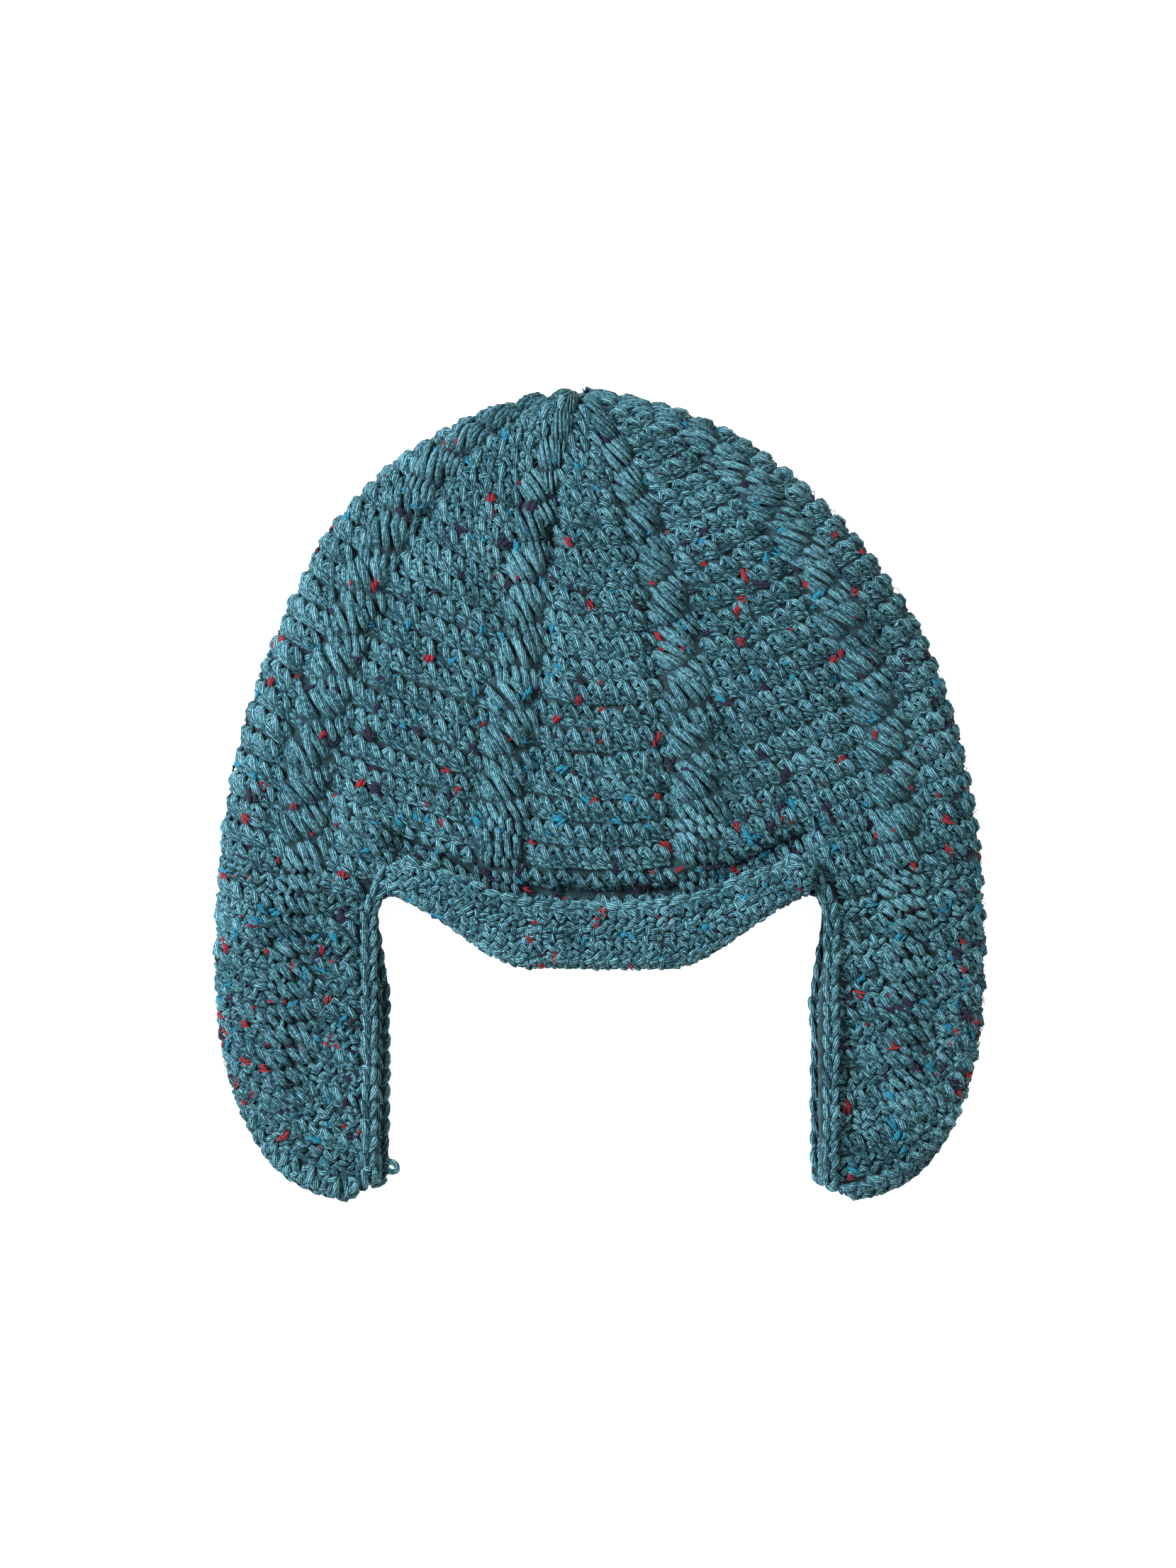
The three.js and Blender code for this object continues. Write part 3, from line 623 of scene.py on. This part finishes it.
def flap_backing(side):
    def place(u, v):
        turn = side * mix(FLAP_START, 180 - FLAP_START, u)
        length = CROWN_LENGTH + v * FLAP_LENGTH
        steady = np.clip(length, CROWN_LENGTH + 2.1, CROWN_LENGTH + FLAP_LENGTH - 2)
        return cloth(turn, length) - lie(cloth, turn, steady)[3] * 1.6
    return place


knotty = [strands(yarn_spindle, KNOT, 0.4) for k in range(6)]
for side, name in ((-1, "left"), (1, "right")):
    flap = backing("flap_backing_" + name, 96, 56, flap_backing(side), BACKING_THICKNESS,
                   "ear_flap_" + name)
    right_rows, wrong_rows = [], []
    for row in range(16):
        length = CROWN_LENGTH + min((row + 0.5) * FLAP_LENGTH / 15, FLAP_LENGTH - 1.5)
        half = cable_half(length) * 0.88
        in_from_edge = 3.2 if row < 12 else 2.0 if row < 14 else 0.6
        first, last = FLAP_START + in_from_edge, 180 - 2 - FLAP_START
        edges = [(first, 67.5 - half), (67.5 + half, 112.5 - half), (112.5 + half, last)]
        if length > CROWN_LENGTH + FLAP_LENGTH - 34:
            edges = [(first, last)]
        for start, end in edges:
            for spot in along_row(cloth, start, end, length, SPACING, 0.92, 8, 0.5 + 0.2 * (-1) ** row):
                spot[0] *= side
                (wrong_rows if row % 2 else right_rows).append(spot)
    flap_layers = [lay("flap_stitches_right_side_" + name, plain, right_rows, cloth, STITCH_BASE),
                   lay("flap_stitches_wrong_side_" + name, knotty, wrong_rows, cloth, STITCH_BASE)]

# Brow flap: the front edge of the crown turned up over itself, so it shows the wrong side of the
# work. It rolls over at the brow and its free edge, with the edging on it, points to the crown.
BROW_HALF_TURN, BROW_LIFT, BROW_ROLL = 47.0, 3.4, 6.7
BROW_KNOT = [
    (-2.7, -3.0, 1.3, 0.0, 2.0, 1.25, 0.4),
    (2.7, -3.1, 1.2, 0.7, 1.7, 1.15, -0.3),
    (-3.0, 0.0, 1.0, 1.7, 1.5, 1.0, 0.4),
    (2.8, 0.6, 0.4, 3.1, 1.7, 1.15, 0.3),
    (-2.6, 2.1, 0.4, 3.5, 1.2, 1.0, 0.2),
]


def brow_tall(turn):
    return 24 - 9 * (np.abs(turn) / BROW_HALF_TURN) ** 4 - 2.6


def brow_place(turn, run):
    """run is the distance from the free edge, over the roll at the brow, to the underside."""
    turn = np.asarray(turn, float)
    flat = brow_tall(turn) - BROW_ROLL
    angle = np.clip((run - flat) / BROW_ROLL, 0, math.pi)
    up = np.where(run < flat, brow_tall(turn) - run, BROW_ROLL - BROW_ROLL * np.sin(angle))
    above = np.where(run < flat, BROW_LIFT + WALL, BROW_ROLL - WALL + BROW_ROLL * np.cos(angle))
    length = CROWN_LENGTH - up
    point = laid(turn, np.minimum(length, CROWN_LENGTH - 0.01))
    out = lie(laid, turn, np.minimum(length, CROWN_LENGTH - 3.5))[3]
    return point + out * above[..., None]


def brow_backing(u, v):
    turn = mix(-BROW_HALF_TURN, BROW_HALF_TURN, u)
    run = v * (brow_tall(turn) - BROW_ROLL + math.pi * BROW_ROLL)
    point, _, _, out = lie(brow_place, turn, run)
    return point - out * 1.3


brow = backing("brow_backing", 90, 30, brow_backing, 2.6, "brow_flap")
BROW_MIRRORED = [(-a0, b0, -a1, b1, lift, half, -bow) for a0, b0, a1, b1, lift, half, bow in BROW_KNOT]
BROW_END, FIRST_ROW, BROW_ROW, BROW_SPACING = BROW_HALF_TURN + 0.9, 3.4, 5.6, 4.7
even, odd = [], []
for row in range(6):
    run = FIRST_ROW + row * BROW_ROW
    for spot in along_row(brow_place, -BROW_END, BROW_END, run, BROW_SPACING, 0.98, 10):
        (odd if row % 2 else even).append(spot)
for name, knots, rows in (("a", BROW_KNOT, even), ("b", BROW_MIRRORED, odd)):
    shapes = [strands(yarn_spindle, knots, 0.4) for k in range(6)]
    lay("brow_stitches_" + name, shapes, rows, brow_place, -1.7)

# Edging: one round of chain along every free edge, worked last. Each link is a V of two plump
# legs, and the next link rises from between them.
CHAIN = [
    (0.3, 4.2, 2.3, -3.0, 1.7, 1.1, -0.3),
    (-0.3, 4.2, -2.3, -3.0, 1.7, 1.1, 0.3),
    (-1.7, -2.8, 1.7, -2.8, -0.2, 1.2, 0.0),
    (0.0, 2.6, 0.0, -3.4, -0.7, 1.2, 0.0),
]
BROW_CHAIN = [
    (-0.9, -4.4, 0.3, 3.4, 1.0, 1.0, 0.2),
    (0.9, -3.2, 1.5, 4.4, 0.9, 1.0, 0.2),
    (-1.9, -3.0, -1.4, 3.8, 0.6, 1.0, 0.0),
]


def flap_edge(side, fold):
    low = np.array([0.06, 0.18, 0.32, 0.46, 0.6, 0.74, 0.84, 0.92])
    turn = side * (FLAP_START if fold > 0 else 180 - FLAP_START)
    point, _, _, out = lie(cloth, np.full(8, turn), CROWN_LENGTH + low * FLAP_LENGTH)
    if fold > 0:
        return point + out * 0.2 + [2.6 * side, 0, 0], unit(out * [0.4, 0.4, 1] + [-0.3 * side, 0, 0])
    return point - out * WALL * 0.9 + [2.2 * side, 0, 0], unit(out * 0 + [-0.35 * side, 0, 1])


turn = np.linspace(-BROW_HALF_TURN + 0.5, BROW_HALF_TURN - 0.5, 15)
out = lie(brow_place, turn, np.full(15, 2.5))[3]
path, faces_out = [brow_place(turn, np.zeros(15)) - out * 2.2 + [0, 0.8, 0]], [unit(out + [0, 0.3, 0])]
for side in (1, -1):
    for fold in ((1, -1) if side > 0 else (-1, 1)):
        point, face = flap_edge(side, fold)
        down_the_flap = (fold > 0) == (side > 0)
        path.append(point if down_the_flap else point[::-1])
        faces_out.append(face if down_the_flap else face[::-1])
        if down_the_flap:
            tip = np.array([[82.4 * side, -137.6, 14.2], [79.8 * side, -137.4, 10.4]])
            tip_out = np.array([[-0.6 * side, -0.4, 0.7], [-0.7 * side, -0.5, 0.5]])
            path.append(tip if side > 0 else tip[::-1])
            faces_out.append(tip_out if side > 0 else tip_out[::-1])
        elif side > 0:
            turns = np.linspace(136, 224, 7)
            out = lie(cloth, turns, np.full(7, CROWN_LENGTH - 2.5))[3]
            path.append(cloth(turns, np.full(7, CROWN_LENGTH)) - out * WALL / 2 + [0, 3, 0])
            faces_out.append(unit(out + [0, -0.6, 0]))
path, faces_out = np.concatenate(path), np.concatenate(faces_out)
fine, carried = [], []
for i in range(len(path)):
    p0, p1, p2, p3 = (path[(i + k) % len(path)] for k in (-1, 0, 1, 2))
    for t in np.linspace(0, 1, 16, endpoint=False):
        fine.append(0.5 * (2 * p1 + (p2 - p0) * t + (2 * p0 - 5 * p1 + 4 * p2 - p3) * t ** 2
                           + (3 * p1 - p0 - 3 * p2 + p3) * t ** 3))
        carried.append(mix(faces_out[i], faces_out[(i + 1) % len(path)], t))
fine, carried = np.array(fine + fine[:1]), np.array(carried + carried[:1])
at = np.concatenate([[0], np.cumsum(np.linalg.norm(np.diff(fine, axis=0), axis=1))])
LINK = 6.1
links = int(round(at[-1] / LINK))
want = np.arange(links) * at[-1] / links
link_point = np.stack([np.interp(want, at, fine[:, k]) for k in range(3)], 1)
link_out = unit(np.stack([np.interp(want, at, carried[:, k]) for k in range(3)], 1))
link_along = unit(np.roll(link_point, -1, 0) - np.roll(link_point, 1, 0))


def link_place(turn, length):
    """Here turn is the number of the link and length the distance from its middle, plus ten."""
    i = np.clip(np.round(turn).astype(int), 0, links - 1)
    side = unit(np.cross(link_out[i], link_along[i]))
    aside, along = (turn - i) * 2, np.asarray(length) - 10
    return link_point[i] + side * aside[..., None] + link_along[i] * along[..., None]


chain_spindle = spindle(8, 6)
chain = [strands(chain_spindle, CHAIN, 0.15) for k in range(4)]
lean = np.where((link_along[:, 1] > 0.4) & (np.abs(link_point[:, 0]) > 60), 180.0, 0.0)
ones = np.ones(links)
spots = np.stack([np.arange(links), ones * 10, ones, ones, lean + rng.normal(0, 4, links)], 1)
on_brow = (np.abs(link_point[:, 0]) < 66) & (link_point[:, 2] > 14)
edging = lay("edging_chain", chain, spots[~on_brow], link_place, -0.5,
             tones=(0.2, 0.27), bends=False)
brow_chain = [strands(yarn_spindle, BROW_CHAIN, 0.25) for k in range(4)]
lay("edging_brow", brow_chain, spots[on_brow], link_place, -0.3,
    tones=(0.18, 0.26), bends=False)
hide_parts("edging")

# Yarn end: the last loop of the edging stands out as a small ring at the tip of the left flap.
bpy.ops.mesh.primitive_torus_add(major_radius=0.0022, minor_radius=0.0011,
                                 major_segments=22, minor_segments=8,
                                 location=(-0.0745, -0.1322, 0.0130), rotation=(0.5, -0.35, 0))
bpy.ops.object.transform_apply(location=True, rotation=True, scale=True)
loop = bpy.context.object
loop.name = loop.data.name = "yarn_end_loop"
bpy.ops.object.shade_smooth()
loop_uv = np.zeros(len(loop.data.loops) * 2)
loop.data.uv_layers[0].name = "strand"
loop.data.uv_layers[0].data.foreach_get("uv", loop_uv)
loop.data.uv_layers[0].data.foreach_set("uv", (loop_uv.reshape(-1, 2)[:, ::-1] * [5.6, 13]).ravel())
loop_tone = loop.data.attributes.new("tone", "FLOAT", "POINT")
loop_tone.data.foreach_set("value", np.full(len(loop.data.vertices), 0.2, np.float32))
loop.data.materials.append(teal_wool)
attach(loop, "root")

# Neps: small tufts of red, blue and navy wool, two to nine millimetres long, that are spun into
# the tweed yarn and stand a little proud of it wherever they come to the surface.
NEP = [
    (-1.7, -0.3, 1.5, 0.2, -0.1, 0.4, 0.1),
    (-1.1, 0.3, 1.9, 0.5, -0.2, 0.34, -0.1),
    (-0.8, -0.7, 0.7, -0.4, -0.2, 0.28, 0.2),
]


def on_top(turn, length):
    """The top of the stitches: the cables stand above the plain ones."""
    proud = np.where(length > CROWN_LENGTH - 12, 0.7, 1.7)
    swell = proud * np.clip(1 - (np.abs(off_cable(turn)) / 6.5) ** 4, 0, 1)
    return cloth(turn, length) + lie(cloth, turn, length)[3] * swell[..., None]


def scattered(number):
    """Turns and lengths of evenly scattered places on the crown and the ear flaps."""
    turns = rng.uniform(-180, 180, number * 3)
    lengths = CROWN_LENGTH * np.sqrt(rng.uniform(0.005, 2.2, number * 3))
    around = np.abs(turns)
    on_flap = (around > 53) & (around < 127)
    on_flap = on_flap & (lengths > CROWN_LENGTH) & (lengths < CROWN_LENGTH + FLAP_LENGTH - 3)
    keep = (lengths < CROWN_LENGTH - 10) | on_flap
    return turns[keep][:number], lengths[keep][:number]


nep_spindle = spindle(5, 4)
NEPS = (("red", "#840c20", 1.2, 340), ("blue", "#05708e", 1.35, 480), ("navy", "#0f0b2a", 1.6, 460))
for colour, code, larger, number in NEPS:
    felt = bpy.data.materials.new(colour + "_wool_nep")
    felt.use_nodes = True
    shader = felt.node_tree.nodes["Principled BSDF"]
    shader.inputs["Roughness"].default_value = 0.95
    place_of = add(felt.node_tree, "ShaderNodeTexCoord")
    fleck = add(felt.node_tree, "ShaderNodeTexNoise", values={"Scale": 1500, "Detail": 2},
                feeds={"Vector": place_of.outputs["Object"]})
    blend = add(felt.node_tree, "ShaderNodeValToRGB", feeds={"Fac": fleck.outputs["Fac"]})
    shade = [c * 0.45 for c in linear(code)[:3]] + [1]
    blend.color_ramp.elements[0].position, blend.color_ramp.elements[0].color = 0.3, shade
    blend.color_ramp.elements[1].position, blend.color_ramp.elements[1].color = 0.6, linear(code)
    felt.node_tree.links.new(blend.outputs[0], shader.inputs["Base Color"])
    turns, lengths = scattered(number)
    size = larger * rng.uniform(0.55, 1.35, len(turns)) ** 1.4
    spots = np.stack([turns, lengths, size, size * rng.uniform(0.7, 1.3, len(turns)),
                      rng.normal(40, 50, len(turns))], 1)
    tufts = [strands(nep_spindle, NEP, 0.4) for k in range(4)]
    lay("neps_" + colour, tufts, spots, on_top, 0.7, material=felt)
    few = number // 20
    spots = np.stack([rng.uniform(-45, 45, few), rng.uniform(1, 26, few), size[:few], size[:few],
                      rng.uniform(0, 180, few)], 1)
    lay("neps_brow_" + colour, tufts, spots, brow_place, 0.3, material=felt)

# Fuzz: loose fibres of the wool, three to eight millimetres long, that stand off the yarn all
# over. They are drawn as thick as they need to be to show.
hair_spindle = spindle(3, 5)
FIBRES = ((4, 1.2, 1), (6, 1.5, -1.5), (5, 1.9, 0.5), (8, 1.2, 2), (3, 1.8, -0.6), (6, 0.9, 1))
fibres = [strands(hair_spindle, [(-reach / 2, 0, reach / 2, 0, lift, 0.035, bow)], 0.5)
          for reach, lift, bow in FIBRES]
turns, lengths = scattered(8000)
ones = np.ones(len(turns))
spots = np.stack([turns, lengths, ones, ones, rng.uniform(0, 360, len(turns))], 1)
lay("fuzz", fibres, spots, on_top, 0.2, tones=(0.15, 0.25))

# Floor, light and camera: a plain white floor that glows a little, so that no shadow shows on it,
# a soft key light from the left and a weak fill from the right. The camera looks straight down.
bpy.ops.mesh.primitive_plane_add(size=6)
floor = bpy.context.object
floor.name = "floor"
floor_paint = bpy.data.materials.new("matt_white_floor")
floor_paint.use_nodes = True
floor_shader = floor_paint.node_tree.nodes["Principled BSDF"]
floor_shader.inputs["Base Color"].default_value = linear("#f7f7f7")
floor_shader.inputs["Roughness"].default_value = 0.9
floor_shader.inputs["Emission Color"].default_value = (1, 1, 1, 1)
floor_shader.inputs["Emission Strength"].default_value = 0.85
floor.data.materials.append(floor_paint)

world = bpy.data.worlds.new("studio")
bpy.context.scene.world = world
world.use_nodes = True
world.node_tree.nodes["Background"].inputs["Color"].default_value = (1, 0.98, 0.915, 1)
world.node_tree.nodes["Background"].inputs["Strength"].default_value = 0.45
LAMPS = (("key", (-0.95, 0.35, 1.05), 0.6, 45, (0.92, 0.98, 1.0)),
         ("fill", (0.9, 0.5, 1.3), 1.2, 9, (1.0, 0.97, 0.86)))
for name, place_at, size, power, colour in LAMPS:
    lamp = bpy.data.lights.new(name, "AREA")
    lamp.size, lamp.energy, lamp.color = size, power, colour
    holder = bpy.data.objects.new(name, lamp)
    holder.location = place_at
    bpy.context.scene.collection.objects.link(holder)
    holder.rotation_euler = (math.atan2(math.hypot(place_at[0], place_at[1]), place_at[2]), 0,
                             math.atan2(place_at[0], -place_at[1]))
bpy.context.scene.view_settings.view_transform = "Standard"

# 1.3 m below the camera, near the top of the cloth, the frame is 553 mm tall
SENSOR, DISTANCE, FRAME_TALL = 36, 1.3, 0.553
camera = bpy.data.cameras.new("camera")
camera.sensor_width, camera.lens = SENSOR, DISTANCE / FRAME_TALL * SENSOR
seat = bpy.data.objects.new("camera", camera)
seat.location = (-0.00425, 0.0046, 1.33)
bpy.context.scene.collection.objects.link(seat)
bpy.context.scene.camera = seat
